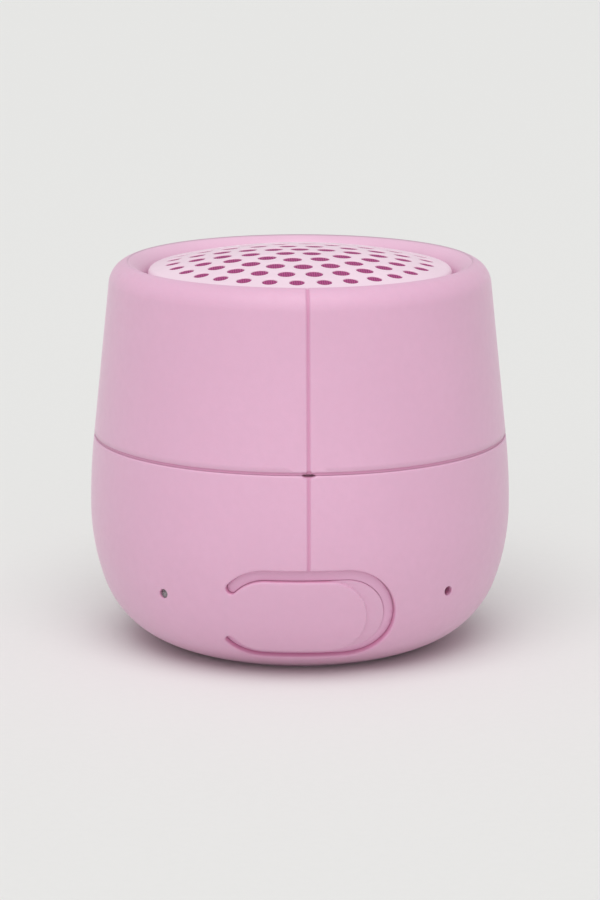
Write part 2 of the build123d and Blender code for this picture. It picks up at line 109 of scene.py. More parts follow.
class BodySizes(bpy.types.PropertyGroup):
    """The body's outline and what is moulded into its skins."""

    radius: length("Radius", "Widest radius of the body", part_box("lower_skin")[1].x)
    parting: length("Parting height", "Height of the seam between the skins", 26.83 * MM)
    foot_arc: length("Foot arc", "Radius of the arc above the base", 12.3 * MM)
    belly_arc: length("Belly arc", "Radius of the arc up to the widest place", 29 * MM)
    waist_arc: length("Waist arc", "Radius of the arc above the widest place", 80 * MM)
    taper: length("Taper length", "Length of the straight side", 20.5 * MM)
    shoulder_arc: length("Shoulder arc", "Radius of the rounded shoulder", 3.1 * MM)
    skin: length("Skin thickness", "Thickness of the soft skins", 1.2 * MM)
    seam: length("Seam depth", "Depth of the ring seam, and rounding of the edge below it", 0.2 * MM)
    seam_height: length("Seam height", "Height of the ring seam's floor", 0.34 * MM)
    score_width: length("Score width", "Half width of the upright scored lines", 0.31 * MM)
    score_depth: length("Score depth", "Depth of the upright scored lines", 0.22 * MM)
    cross_size: length("Crossing size", "Half height of the dimple where the seams cross", 0.95 * MM)
    pinhole: length("Pinhole radius", "Radius of the light's and microphone's holes", 0.65 * MM)
    pinhole_height: length("Pinhole height", "Height of the light's and microphone's holes", 10.3 * MM)
    pinhole_turn: FloatProperty(name="Pinhole turn", description="Degrees from the front", default=43.4)
    pinhole_rounding: length("Pinhole rounding", "Rounding of the pinholes' edges", 0.12 * MM)
    segments: IntProperty(name="Segments", description="Faces round the body", default=180, min=60)


class FlapSizes(bpy.types.PropertyGroup):
    """The flap over the charging socket, as seen from the front."""

    left: length("Left centre", "Centre of the left round end", -5.3 * MM)
    right: length("Right centre", "Centre of the right round end", 4.7 * MM)
    height: length("Height", "Height of the middle of the flap", 8.69 * MM)
    radius: length("End radius", "Radius of the flap's round ends", 4.96 * MM)
    slot: length("Slot width", "Width of the slot round the flap", 1.24 * MM)
    rounding: length("Edge rounding", "Rounding of the slot's upper edges", 0.22 * MM)
    pad_right: length("Pad centre", "Centre of the raised pad's right end", 2.3 * MM)
    ledge: length("Ledge depth", "Depth of the finger ledge beside the pad", 0.5 * MM)
    thickness: length("Thickness", "Thickness of the flap", 1.05 * MM)
    drop: length("Drop", "How far the flap hangs under the middle of its slot", 0.2 * MM)
    floor: length("Slot depth", "Depth of the floor between the slot's walls", 0.6 * MM)
    root: length("Root", "Where the flap grows out of the skin", -9.9 * MM)
    bend: length("Bend", "Length of the soft bend at the root", 2.2 * MM)
    top_end: FloatProperty(
        name="Upper slot end", description="Where the upper arm of the slot ends",
        default=math.radians(139.5), subtype="ANGLE", unit="ROTATION")
    bottom_end: FloatProperty(
        name="Lower slot end", description="Where the lower arm of the slot ends",
        default=math.radians(220.5), subtype="ANGLE", unit="ROTATION")


class GrilleSizes(bpy.types.PropertyGroup):
    """The domed grille and its holes."""

    radius: length("Radius", "Outer radius of the grille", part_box("speaker_grille")[1].x)
    apex: length("Apex height", "Height of the middle of the dome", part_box("speaker_grille")[1].z)
    dome: length("Dome radius", "Radius of the dome's sphere", 80 * MM)
    thickness: length("Thickness", "Thickness of the dome", 0.5 * MM)
    cloth_depth: length("Cloth depth", "Depth of the moulded-in cloth under the dome", 0.14 * MM)
    edge: length("Edge rounding", "Rounding of the dome's edge", 0.5 * MM)
    hole_rounding: length("Hole rounding", "Rounding of the holes' upper edges", 0.1 * MM)
    pitch: length("Pitch", "Spacing of the innermost rings of holes", 3.36 * MM)
    skirt: length("Skirt", "Thickness of the wall under the dome's edge", 1.0 * MM)
    foot: length("Foot height", "Height of the skirt's lower edge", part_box("speaker_grille")[0].z)


class Finishes(bpy.types.PropertyGroup):
    """The colours of the pieces that show."""

    skin: colour("Skin", "Soft silicone skins", (0.755, 0.435, 0.605))
    shell: colour("Shell", "Hard shells under the skins", (0.79, 0.50, 0.655))
    slot_floor: colour("Slot floor", "Floor of the slot round the flap", (0.74, 0.41, 0.59))
    grille: colour("Grille", "Moulded grille", (0.89, 0.69, 0.80))
    cloth: colour("Cloth", "Cloth behind the grille", (0.50, 0.085, 0.27))
    floor: colour("Floor", "Studio floor and backdrop", (0.80, 0.80, 0.785))


class StageSizes(bpy.types.PropertyGroup):
    """The camera and the lights."""

    azimuth: FloatProperty(
        name="Azimuth", description="Camera's turn from the front, towards +X",
        default=math.radians(-2.3), subtype="ANGLE", unit="ROTATION")
    elevation: FloatProperty(
        name="Elevation", description="Camera's height over the horizon",
        default=math.radians(12.0), subtype="ANGLE", unit="ROTATION")
    distance: length("Distance", "Camera to target", 0.448)
    target: length("Target height", "Height that the camera looks at", 0.02443)
    lens: FloatProperty(name="Lens", description="Focal length in millimetres", default=138.8)
    world: FloatProperty(name="Surround light", description="Strength of the even light", default=0.50)
    key: FloatProperty(name="Key light", description="Strength of the light from above", default=1.55)
    front: FloatProperty(
        name="Front light", description="Strength of the light from the front", default=0.45)


GROUPS = {
    "body": BodySizes, "flap": FlapSizes, "grille": GrilleSizes, "finishes": Finishes,
    "stage": StageSizes,
}


class SpeakerSettings(bpy.types.PropertyGroup):
    """All settings of the speaker."""

    body: PointerProperty(type=BodySizes)
    flap: PointerProperty(type=FlapSizes)
    grille: PointerProperty(type=GrilleSizes)
    finishes: PointerProperty(type=Finishes)
    stage: PointerProperty(type=StageSizes)


def sizes(name):
    """A group's values, with lengths in millimetres, because the pieces are drawn in them."""
    group = getattr(bpy.context.scene.shower_speaker, name)
    values = {}
    for key, prop in group.bl_rna.properties.items():
        if key not in ("rna_type", "name"):
            values[key] = getattr(group, key) / MM if prop.unit == "LENGTH" else getattr(group, key)
    return SimpleNamespace(**values)


# Drawing and turning


class Walk:
    """A line drawn in the XZ plane by walking: straight runs are extruded and arcs are spun."""

    def __init__(self, bm, start):
        self.bm = bm
        self.old = set(bm.edges)
        self.first = bm.verts.new((start[0], 0, start[1]))
        self.tip = self.first

    def to(self, across, up, steps=1):
        begin = self.tip.co.copy()
        goal = Vector((across, 0, up))
        for step in range(steps):
            made = bmesh.ops.extrude_vert_indiv(self.bm, verts=[self.tip])
            self.tip = made["verts"][0]
            self.tip.co = begin.lerp(goal, (step + 1) / steps)
        return self

    def arc(self, radius, first, last, steps):
        """Turn from one heading to another; a negative radius turns right."""
        turn = math.radians(first)
        centre = self.tip.co + Vector((-math.sin(turn), 0, math.cos(turn))) * radius
        made = bmesh.ops.spin(
            self.bm, geom=[self.tip], cent=centre, axis=(0, -1, 0), angle=math.radians(last - first),
            steps=steps, use_duplicate=False)
        self.tip = next(part for part in made["geom_last"] if isinstance(part, bmesh.types.BMVert))
        return self

    def close(self):
        """Join the end to the start, and return the loop's edges."""
        if (self.tip.co - self.first.co).length > 0.005:
            self.bm.edges.new((self.tip, self.first))
        else:
            bmesh.ops.weld_verts(self.bm, targetmap={self.tip: self.first})
        return [edge for edge in self.bm.edges if edge not in self.old]


def spin_round(bm, segments):
    """Turn everything drawn so far into a surface of revolution about Z."""
    bmesh.ops.spin(
        bm, geom=bm.verts[:] + bm.edges[:], cent=(0, 0, 0), axis=(0, 0, 1), angle=math.tau,
        steps=segments, use_merge=True, use_duplicate=False)
    bmesh.ops.remove_doubles(bm, verts=bm.verts, dist=0.0005)
    bmesh.ops.recalc_face_normals(bm, faces=bm.faces)


def once(parts):
    """Each part once, in order. A set's order changes from run to run, and the mesh with it."""
    return dict.fromkeys(parts)


def own_edges(faces):
    """The edges that lie between two of these faces."""
    edges = once(edge for face in faces for edge in face.edges)
    return [e for e in edges if len(e.link_faces) == 2 and all(f in faces for f in e.link_faces)]


def refine(bm, faces, limit, passes=8):
    """Split long inner edges until each is under its limit, and even the triangles out."""
    others = {face for face in bm.faces if face not in faces}
    for _ in range(passes):
        long = [
            edge for edge in own_edges(faces)
            if edge.calc_length() > limit((edge.verts[0].co + edge.verts[1].co) / 2)]
        if not long:
            break
        bmesh.ops.subdivide_edges(bm, edges=long, cuts=1)
        faces = once(face for face in bm.faces if face not in others)
        bmesh.ops.triangulate(bm, faces=[face for face in faces if len(face.verts) > 3])
        faces = once(face for face in bm.faces if face not in others)
        bmesh.ops.beautify_fill(bm, faces=list(faces), edges=own_edges(faces), method="ANGLE")
        faces = once(face for face in bm.faces if face not in others)
        verts = once(vert for face in faces for vert in face.verts)
        inner = [vert for vert in verts if all(face in faces for face in vert.link_faces)]
        free = [vert for vert in inner if not vert.is_boundary]
        bmesh.ops.smooth_vert(
            bm, verts=free, factor=0.5, use_axis_x=True, use_axis_y=True, use_axis_z=True)
    return faces


def fill_between(bm, edges, limit, passes=8):
    """Fill the flat region between closed loops with even triangles."""
    made = bmesh.ops.triangle_fill(bm, use_beauty=True, use_dissolve=False, edges=edges)
    faces = once(part for part in made["geom"] if isinstance(part, bmesh.types.BMFace))
    return refine(bm, faces, limit, passes)


def bridge(bm, first, second):
    bmesh.ops.bridge_loops(bm, edges=first + second)


def finish_piece(bm, name, body, slot, replaced=(), sharp=32, surface=None):
    """Make an object of the mesh, smooth it, finish it and let it ride on a body."""
    bmesh.ops.scale(bm, vec=(MM, MM, MM), verts=bm.verts)
    mesh = bpy.data.meshes.new(name)
    bm.to_mesh(mesh)
    bm.free()
    mesh.shade_smooth()
    mesh.set_sharp_from_angle(angle=math.radians(sharp))
    mesh.materials.append(surface or finish_of(slot))
    piece = bpy.data.objects.new(name, mesh)
    bpy.context.scene.collection.objects.link(piece)
    if replaced:
        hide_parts(*replaced)
    if body:
        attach(piece, body)
    return piece


# The outline of the body, shared by the skins and the flap


def foot_centre(body):
    """Centre of the arc above the base, in the half section."""
    belly = math.radians(HEADINGS["belly"])
    across = body.radius - body.belly_arc * (1 - math.sin(belly)) - body.foot_arc * math.sin(belly)
    return Vector((across, 0, body.foot_arc * math.cos(math.radians(HEADINGS["foot"]))))


def belly_centre(body):
    rise = (body.belly_arc - body.foot_arc) * math.cos(math.radians(HEADINGS["belly"]))
    return Vector((body.radius - body.belly_arc, 0, foot_centre(body).z + rise))


def taper_radius(body, height, inset=0.0):
    """Radius of the straight side at a height."""
    slope = math.radians(HEADINGS["taper"] - 90)
    foot_across = body.radius - body.waist_arc * (1 - math.cos(slope))
    foot_up = belly_centre(body).z + body.waist_arc * math.sin(slope)
    return foot_across - (height - foot_up) * math.tan(slope) - inset / math.cos(slope)


def taper_end(body):
    """Height of the top of the straight side."""
    slope = math.radians(HEADINGS["taper"] - 90)
    return belly_centre(body).z + body.waist_arc * math.sin(slope) + body.taper * math.cos(slope)


def lower_face(body, across, up, depth):
    """The place seen from the front at (across, up), at a depth under the lower body's face."""
    centre, run = foot_centre(body), body.foot_arc
    if up > centre.z - run * math.cos(math.radians(HEADINGS["belly"])):
        centre, run = belly_centre(body), body.belly_arc
    radius = centre.x + math.sqrt(run ** 2 - (centre.z - up) ** 2)
    outward = Vector((radius - centre.x, 0, up - centre.z)).normalized()
    side = across / radius
    facing = -math.sqrt(1 - side ** 2)
    normal = Vector((outward.x * side, outward.x * facing, outward.z))
    return Vector((radius * side, radius * facing, up)) - normal * depth


def with_borders(faces):
    """Faces with their edges and corners, as the cutting operator takes them."""
    edges = once(edge for face in faces for edge in face.edges)
    return [*faces, *edges, *once(vert for face in faces for vert in face.verts)]


def cut_lines(bm, stops, normal, chosen):
    """Cut straight lines across the chosen faces."""
    for stop in stops:
        faces = [face for face in bm.faces if chosen(face.calc_center_median())]
        bmesh.ops.bisect_plane(
            bm, geom=with_borders(faces), dist=0.0004, plane_co=Vector(normal) * stop, plane_no=normal)


def score_lines(bm, body, lowest_front, lowest_back):
    """Press the upright scored lines and the dimple of their crossing into the outer face, and paint shade
    into them, into the ring seam and towards the bottom edge.
    """
    width, cross = body.score_width, body.cross_size
    cut_lines(
        bm, [part * width / 3 for part in range(-4, 5)], (1, 0, 0),
        lambda place: abs(place.x) < STRIP and abs(place.y) > body.radius / 2
        and place.z > (lowest_front if place.y < 0 else lowest_back) - 1)
    cut_lines(
        bm, [body.parting + part * cross / 5 for part in range(-7, 8) if part], (0, 0, 1),
        lambda place: abs(place.x) < STRIP and place.y < 0 and abs(place.z - body.parting) < 2.5)
    bm.normal_update()
    moves = []
    for vert in bm.verts:
        place, normal = vert.co, vert.normal
        outward = normal.y * (1 if place.y > 0 else -1)
        if abs(place.x) > STRIP or outward < 0.02 and normal.z < 0.5:
            continue
        press = 0.0
        if abs(place.x) < width and place.z > (lowest_front if place.y < 0 else lowest_back):
            press = body.score_depth * (1 - (place.x / width) ** 2) ** 1.5
        if place.y < 0:
            dimple = 1 - abs(place.x) / (0.75 * cross) - abs(place.z - body.parting) / cross
            press = max(press, min(body.score_depth, 0.6 * dimple))
        if press > 0:
            moves.append((vert, normal * press))
    # Painted shade in the scored lines and the dimple, darker the deeper each point is pressed.
    painted_shade = bm.verts.layers.float["painted_shade"]
    for vert, move in moves:
        vert.co -= move
        vert[painted_shade] = max(vert[painted_shade], min(0.75, 2.6 * move.length))
    # Painted shade along the ring seam's floor, and painted shade that darkens the skin towards its bottom
    # edge.
    foot_height, slack = 3.2, 0.02
    for vert in bm.verts:
        in_seam = -slack < vert.co.z - body.parting < body.seam_height + slack
        vert[painted_shade] = max(vert[painted_shade], 0.6 * in_seam, 0.7 * (1 - vert.co.z / foot_height), 0)


# Finishes


class Link:
    """A socket whose arithmetic adds Math nodes."""

    def __init__(self, shader, socket):
        self.shader = shader
        self.socket = socket

    def combine(self, operation, first, second):
        return self.shader.node("ShaderNodeMath", {"operation": operation}, {0: first, 1: second})

    def __add__(self, other):
        return self.combine("ADD", self, other)

    def __mul__(self, other):
        return self.combine("MULTIPLY", self, other)

    def __gt__(self, other):
        return self.combine("GREATER_THAN", self, other)

    __radd__ = __add__
    __rmul__ = __mul__


class Shader:
    """A material built node by node."""

    def __init__(self, name):
        self.material = bpy.data.materials.new(name)
        self.material.use_nodes = True
        self.tree = self.material.node_tree
        self.surface = self.tree.nodes["Principled BSDF"]

    def node(self, kind, options=None, inputs=None, output=0):
        made = self.tree.nodes.new(kind)
        for key, value in (options or {}).items():
            setattr(made, key, value)
        self.feed(made, inputs or {})
        return Link(self, made.outputs[output])

    def feed(self, made, inputs):
        for key, value in inputs.items():
            if isinstance(value, Link):
                self.tree.links.new(value.socket, made.inputs[key])
            else:
                made.inputs[key].default_value = value

    def place(self, scale=(1, 1, 1)):
        """Object coordinates, scaled."""
        here = self.node("ShaderNodeTexCoord", output="Object")
        return self.node("ShaderNodeMapping", {}, {"Vector": here, "Scale": scale})

    def noise(self, where, scale, detail=2.0, roughness=0.5):
        inputs = {"Vector": where, "Scale": scale, "Detail": detail, "Roughness": roughness}
        return self.node("ShaderNodeTexNoise", {}, inputs)

    def blend(self, factor, first, second):
        """Mix two colours."""
        inputs = {0: factor, 6: first, 7: second}
        return self.node("ShaderNodeMix", {"data_type": "RGBA"}, inputs, output=2)

    def bump(self, height, strength, distance):
        return self.node(
            "ShaderNodeBump", {}, {"Height": height, "Strength": strength, "Distance": distance})

    def finish(self, **sockets):
        self.feed(self.surface, {key.replace("_", " "): value for key, value in sockets.items()})
        return self.material


def shade(tint, factor):
    return tuple(min(1, part * factor) for part in tint[:3]) + (1,)


def stretched(shader, value, low, high):
    """Fit a noise's middle range to new limits."""
    inputs = {"Value": value, "From Min": 0.3, "From Max": 0.7, "To Min": low, "To Max": high}
    return shader.node("ShaderNodeMapRange", {}, inputs)


def soft_silicone(name, tint):
    """Matt silicone: a fine moulded grain, faint clouding, a powdery sheen, and painted shade in its
    creases, seam, slot walls and towards its foot.
    """
    shader = Shader(name)
    where = shader.place()
    grain = shader.noise(where, 5200, 2)
    ripple = shader.noise(where, 260, 3)
    cloud = shader.noise(where, 60, 3)
    mottle = shader.noise(where, 900, 4, 0.6)
    base = shader.blend(stretched(shader, cloud, 0, 1), shade(tint, 0.975), shade(tint, 1.02))
    base = shader.blend(stretched(shader, mottle, 0, 0.5), base, shade(tint, 0.955))
    # Painted shade: the attribute read here darkens the colour towards the deep magenta below where shade
    # falls, in creases, recesses and towards the bottom edge.
    painted_shade = shader.node("ShaderNodeAttribute", {"attribute_name": "painted_shade"}, output="Fac")
    deep = (tint[0] * 0.74, tint[1] * 0.32, tint[2] * 0.52, 1)
    base = shader.blend(painted_shade * 0.75, base, deep)
    return shader.finish(
        Base_Color=base, Roughness=stretched(shader, mottle, 0.48, 0.58),
        Normal=shader.bump(grain + ripple * 2.0, 0.16, 0.00006),
        Sheen_Weight=0.3, Sheen_Roughness=0.45, Specular_IOR_Level=0.5,
        Subsurface_Weight=0.12, Subsurface_Radius=(0.9, 0.45, 0.55), Subsurface_Scale=0.0012)


def moulded(name, tint, rough=0.42, grain_scale=2600, depth=0.00004, spread=0.03, specular=0.5):
    """Injection-moulded plastic with a spark-eroded grain."""
    shader = Shader(name)
    where = shader.place()
    grain = shader.noise(where, grain_scale, 3)
    cloud = shader.noise(where, 110, 3)
    base = shader.blend(stretched(shader, cloud, 0, 1), shade(tint, 1 - spread), shade(tint, 1 + spread))
    return shader.finish(
        Base_Color=base, Roughness=stretched(shader, grain, rough - 0.06, rough + 0.08),
        Normal=shader.bump(grain, 0.25, depth), Specular_IOR_Level=specular)


def woven_cloth(name, tint):
    """Fine acoustic cloth: two crossed sets of threads."""
    shader = Shader(name)
    where = shader.place()
    inputs = {"Vector": where, "Scale": 1100, "Distortion": 0.4}
    warp, weft = (
        shader.node("ShaderNodeTexWave", {"wave_type": "BANDS", "bands_direction": way}, inputs)
        for way in "XY")
    threads = warp * weft
    fibre = shader.noise(where, 2600, 3)
    base = shader.blend(threads, shade(tint, 0.45), shade(tint, 1.5))
    base = shader.blend(stretched(shader, fibre, 0, 0.4), base, shade(tint, 0.8))
    return shader.finish(
        Base_Color=base, Roughness=0.85, Normal=shader.bump(threads + fibre * 0.3, 0.5, 0.0001),
        Specular_IOR_Level=0.25)


def metal(name, tint, rough, along=(1, 1, 1), scale=1800):
    """Turned or drawn metal: streaks along one direction over faint stains."""
    shader = Shader(name)
    streaks = shader.noise(shader.place(along), scale, 4, 0.6)
    stains = shader.noise(shader.place(), 220, 3)
    base = shader.blend(stretched(shader, stains, 0, 1), shade(tint, 0.85), shade(tint, 1.06))
    return shader.finish(
        Base_Color=base, Metallic=0.97, Roughness=stretched(shader, streaks, rough - 0.09, rough + 0.12),
        Normal=shader.bump(streaks, 0.14, 0.00004))


def circuit_green(name):
    """Solder mask over copper tracks, with darker bare laminate between the pours."""
    shader = Shader(name)
    where = shader.place()
    cells = shader.node(
        "ShaderNodeTexVoronoi", {"feature": "F1", "distance": "CHEBYCHEV"},
        {"Vector": where, "Scale": 520, "Randomness": 0.6})
    tracks = cells > 0.52
    cloud = shader.noise(where, 300, 3)
    base = shader.blend(tracks, (0.012, 0.10, 0.045, 1), (0.02, 0.19, 0.075, 1))
    base = shader.blend(stretched(shader, cloud, 0, 0.35), base, (0.008, 0.07, 0.035, 1))
    return shader.finish(
        Base_Color=base, Roughness=0.32, Coat_Weight=0.4, Normal=shader.bump(tracks, 0.4, 0.00004))


def fibrous(name, tint, scale, rough=0.9, depth=0.00012):
    """Pressed fibres, as in paper, felt, foam and treated cloth."""
    shader = Shader(name)
    fibres = shader.noise(shader.place((1, 1, 3)), scale, 6, 0.7)
    flecks = shader.noise(shader.place(), scale * 0.3, 3)
    base = shader.blend(stretched(shader, fibres, 0, 1), shade(tint, 0.75), shade(tint, 1.2))
    base = shader.blend(stretched(shader, flecks, 0, 0.3), base, shade(tint, 0.6))
    return shader.finish(Base_Color=base, Roughness=rough, Normal=shader.bump(fibres, 0.5, depth))


def clear_plastic(name):
    """Clear plastic with a slight haze."""
    shader = Shader(name)
    haze = shader.noise(shader.place(), 700, 3)
    base = shader.blend(stretched(shader, haze, 0, 1), (0.8, 0.82, 0.84, 1), (0.95, 0.96, 0.97, 1))
    return shader.finish(
        Base_Color=base, Roughness=stretched(shader, haze, 0.12, 0.25),
        Transmission_Weight=0.7, IOR=1.49)


def studio_paper(name, tint):
    """Seamless paper with a faint tooth."""
    shader = Shader(name)
    tooth = shader.noise(shader.place(), 900, 4)
    base = shader.blend(stretched(shader, tooth, 0, 1), shade(tint, 0.995), shade(tint, 1.005))
    return shader.finish(Base_Color=base, Roughness=0.9, Normal=shader.bump(tooth, 0.05, 0.00005))


NODE_FINISHES = {
    "steel": lambda: metal("zinc_steel", (0.62, 0.63, 0.65), 0.34, (1, 1, 8)),
    "nickel": lambda: metal("plated_nickel", (0.72, 0.70, 0.66), 0.24, (1, 1, 6), 1200),
    "copper": lambda: metal("wound_copper", (0.72, 0.30, 0.12), 0.3, (0.2, 0.2, 14), 900),
    "board_green": lambda: circuit_green("circuit_board"),
    "black_plastic": lambda: moulded("black_plastic", (0.022, 0.022, 0.025), 0.45, 2400),
    "white_plastic": lambda: moulded("white_plastic", (0.78, 0.77, 0.73), 0.4, 2400),
    "clear_plastic": lambda: clear_plastic("light_guide"),
    "paper": lambda: fibrous("pressed_paper", (0.045, 0.043, 0.042), 1600),
    "spider_cloth": lambda: fibrous("treated_cloth", (0.60, 0.40, 0.17), 2000),
    "foam": lambda: fibrous("closed_foam", (0.055, 0.055, 0.06), 2800, 0.95),
    "foil": lambda: metal("pouch_foil", (0.66, 0.67, 0.70), 0.4, (1, 1, 1), 500),
    "black_rubber": lambda: moulded("black_rubber", (0.03, 0.03, 0.032), 0.62, 3200, 0.00005, 0.06, 0.3),
    "red_lead": lambda: moulded("red_lead", (0.55, 0.02, 0.02), 0.42, 3000, 0.00003, 0.05),
    "black_lead": lambda: moulded("black_lead", (0.02, 0.02, 0.02), 0.42, 3000, 0.00003, 0.05),
}
MADE = {}


def finish_of(slot):
    """The finish of a slot, made once."""
    if slot not in MADE:
        tints = bpy.context.scene.shower_speaker.finishes
        special = {
            "skin": lambda: soft_silicone("soft_skin", tints.skin),
            "shell": lambda: moulded("hard_shell", tints.shell, 0.38, 2400, 0.00003),
            "grille": lambda: moulded("grille_plastic", tints.grille, 0.44, 3000, 0.00004),
            "mesh_cloth": lambda: woven_cloth("acoustic_cloth", tints.cloth),
            "foot_rubber": lambda: soft_silicone("foot_rubber", shade(tints.skin, 0.85)),
        }
        MADE[slot] = {**NODE_FINISHES, **special}[slot]()
    return MADE[slot]


# Operators: one for each piece or group of like pieces


class SPEAKER_OT_upper_skin(bpy.types.Operator):
    """Make the upper skin, with its scored lines"""

    bl_idname = "speaker.upper_skin"
    bl_label = "Upper Skin"

    def execute(self, context):
        body = sizes("body")
        bm = bmesh.new()
        # A layer for painted shade in the scored lines and the ring seam.
        bm.verts.layers.float.new("painted_shade")
        low, high = body.parting, taper_end(body)
        shoulder = math.radians(HEADINGS["shoulder"])
        floor = taper_radius(body, low) - body.seam
        edge = low + body.seam_height
        walk = Walk(bm, (taper_radius(body, low) - body.skin, low))
        walk.to(floor, low, 2).to(floor, edge, 3)
        walk.to(taper_radius(body, edge) - body.seam / 3, edge + body.seam / 5)
        walk.to(taper_radius(body, edge + body.seam / 2), edge + body.seam / 2)
        walk.to(taper_radius(body, high), high, 30)
        walk.arc(body.shoulder_arc, HEADINGS["taper"], HEADINGS["shoulder"], 16)
        ridge = walk.tip.co
        walk.to(ridge.x - body.skin * math.sin(shoulder), ridge.z + body.skin * math.cos(shoulder))
        walk.to(taper_radius(body, high, body.skin), high, 3)
        walk.close()
        spin_round(bm, body.segments)
        score_lines(bm, body, 0, 0)
        finish_piece(bm, "soft_upper_skin", "housing", "skin", ["upper_skin"], sharp=50)
        return {"FINISHED"}


def slot_outline(bm, flap, grow):
    """The closed outline of the slot round the flap, grown all round, drawn flat at the front."""
    half = flap.slot / 2 + grow
    outer, inner = flap.radius + flap.slot / 2 + half, flap.radius + flap.slot / 2 - half
    top, low = math.degrees(flap.top_end), math.degrees(flap.bottom_end) - 360
    first = Vector((flap.left, 0, flap.height)) + heading(top) * outer
    walk = Walk(bm, (first.x, first.z))
    walk.arc(-outer, top - 90, 0, 12)
    walk.to(flap.right, flap.height + outer, 26)
    walk.arc(-outer, 0, -180, 46)
    walk.to(flap.left, flap.height - outer, 26)
    walk.arc(-outer, -180, low - 90, 10)
    walk.arc(-half, low - 90, low - 270, 10)
    walk.arc(inner, low + 90, 0, 14)
    walk.to(flap.right, flap.height - inner, 26)
    walk.arc(inner, 0, 180, 46)
    walk.to(flap.left, flap.height + inner, 26)
    walk.arc(inner, 180, top + 90, 12)
    walk.arc(-half, top + 90, top - 90, 10)
    edges = walk.close()
    for vert in {vert for edge in edges for vert in edge.verts}:
        along = min(flap.right, max(flap.left, vert.co.x))
        reach = math.hypot(vert.co.x - along, vert.co.z - flap.height)
        vert.co.z -= flap.drop * min(1, max(0, (outer - reach) / (outer - inner)))
    return edges


def heading(angle):
    """A unit step at this angle in the XZ plane."""
    return Vector((math.cos(math.radians(angle)), 0, math.sin(math.radians(angle))))


def slot_tip(flap, angle, onward, grow):
    """The furthest point of a slot end, grown like its outline."""
    middle = Vector((flap.left, 0, flap.height)) + heading(angle) * (flap.radius + flap.slot / 2)
    tip = middle + heading(angle + onward) * (flap.slot / 2 + grow)
    outer = flap.radius + flap.slot + grow
    reach = math.hypot(tip.x - flap.left, tip.z - flap.height)
    tip.z -= flap.drop * (outer - reach) / (flap.slot + 2 * grow)
    return tip


def pinhole_outline(bm, body, side, radius):
    """A pinhole's outline as the front sees it."""
    angle = math.radians(side * body.pinhole_turn)
    rise = body.pinhole_height
    reach = foot_centre(body).x + math.sqrt(body.foot_arc ** 2 - (foot_centre(body).z - rise) ** 2)
    verts = bmesh.ops.create_circle(bm, cap_ends=False, radius=radius, segments=28)["verts"]
    bmesh.ops.rotate(bm, verts=verts, cent=(0, 0, 0), matrix=Matrix.Rotation(math.pi / 2, 3, "X"))
    bmesh.ops.scale(bm, verts=verts, vec=(math.cos(angle), 1, 1))
    bmesh.ops.translate(bm, verts=verts, vec=(reach * math.sin(angle), 0, rise))
    return list(once(edge for vert in verts for edge in vert.link_edges))


def rounded_edge(rounding, steps=4):
    """How far the loops over a rounded edge are grown, and how deep they lie."""
    turns = [math.pi / 2 * step / steps for step in range(steps + 1)]
    return [(rounding * (1 - math.sin(turn)), rounding * (1 - math.cos(turn))) for turn in turns]


def wall_stages(rounding, depth):
    """How far a wall's loops are grown and how deep they lie, from its rounded edge to its foot."""
    return rounded_edge(rounding) + [(0, depth / 2), (0, depth - rounding / 2), (rounding / 2, depth)]


def stacked_loops(bm, draw, stages):
    """Draw an outline at each stage, grown so far and at that depth, and wall in between."""
    loops = []
    for grow, level in stages:
        edges = draw(grow)
        for vert in {vert for edge in edges for vert in edge.verts}:
            vert.co.y = level
        if loops:
            bridge(bm, loops[-1], edges)
        loops.append(edges)
    return loops


def flat_place(body, place):
    """Where the front sheets draw a point of the spun skin: across, depth under the face, and up."""
    centre, run = foot_centre(body), body.foot_arc
    radius = math.hypot(place.x, place.y)
    turn = math.atan2(radius - centre.x, centre.z - place.z)
    if turn > math.radians(HEADINGS["belly"]) + 1e-5:
        centre, run = belly_centre(body), body.belly_arc
        turn = math.atan2(radius - centre.x, centre.z - place.z)
    depth = run - math.hypot(radius - centre.x, centre.z - place.z)
    reach = centre.x + run * math.sin(turn)
    return Vector((place.x * reach / radius, depth, centre.z - run * math.cos(turn)))


def spun_lower_skin(body):
    """The lower skin all round, with its foot, belly and waist arcs and its rounded top edge."""
    bm = bmesh.new()
    # A layer for painted shade in the walls, the seam, the scored lines and towards the foot.
    bm.verts.layers.float.new("painted_shade")
    top_turn = math.radians(HEADINGS["taper"])
    centre, run = foot_centre(body), body.foot_arc
    begin = centre + heading(HEADINGS["skin"] - 90) * run
    high = body.parting - body.seam * (1 - math.cos(top_turn))
    walk = Walk(bm, (begin.x, begin.z))
    walk.arc(run, HEADINGS["skin"], HEADINGS["belly"], 44)
    walk.arc(body.belly_arc, HEADINGS["belly"], HEADINGS["waist"], 16)
    walk.arc(body.waist_arc, HEADINGS["waist"], HEADINGS["taper"], 10)
    walk.to(taper_radius(body, high), high, 2)
    walk.arc(body.seam, HEADINGS["taper"], 180, 6)
    walk.to(taper_radius(body, body.parting, body.skin), body.parting, 2)
    waist_end = belly_centre(body).z + (body.waist_arc - body.skin) * math.sin(top_turn - math.pi / 2)
    walk.to(taper_radius(body, waist_end, body.skin), waist_end)
    back = {key: value + 180 for key, value in HEADINGS.items()}
    walk.arc(body.skin - body.waist_arc, back["taper"], back["waist"], 10)
    walk.arc(body.skin - body.belly_arc, back["waist"], back["belly"], 16)
    walk.arc(body.skin - body.foot_arc, back["belly"], back["skin"], 44)
    walk.close()
    spin_round(bm, body.segments)
    return bm


def open_front(bm, body):
    """Cut the window for the front sheets out of both faces of the spun skin."""
    window = []
    for face in bm.faces:
        place = face.calc_center_median()
        flat = flat_place(body, place)
        depth = 0 if flat.y < body.skin / 2 else body.skin
        turn = abs(math.atan2(place.x, -place.y))
        in_window = turn < WINDOW["turn"] and WINDOW["low"] < flat.z < WINDOW["high"]
        if in_window and abs(flat.y - depth) < 0.1:
            window.append(face)
    bmesh.ops.delete(bm, geom=window, context="FACES")


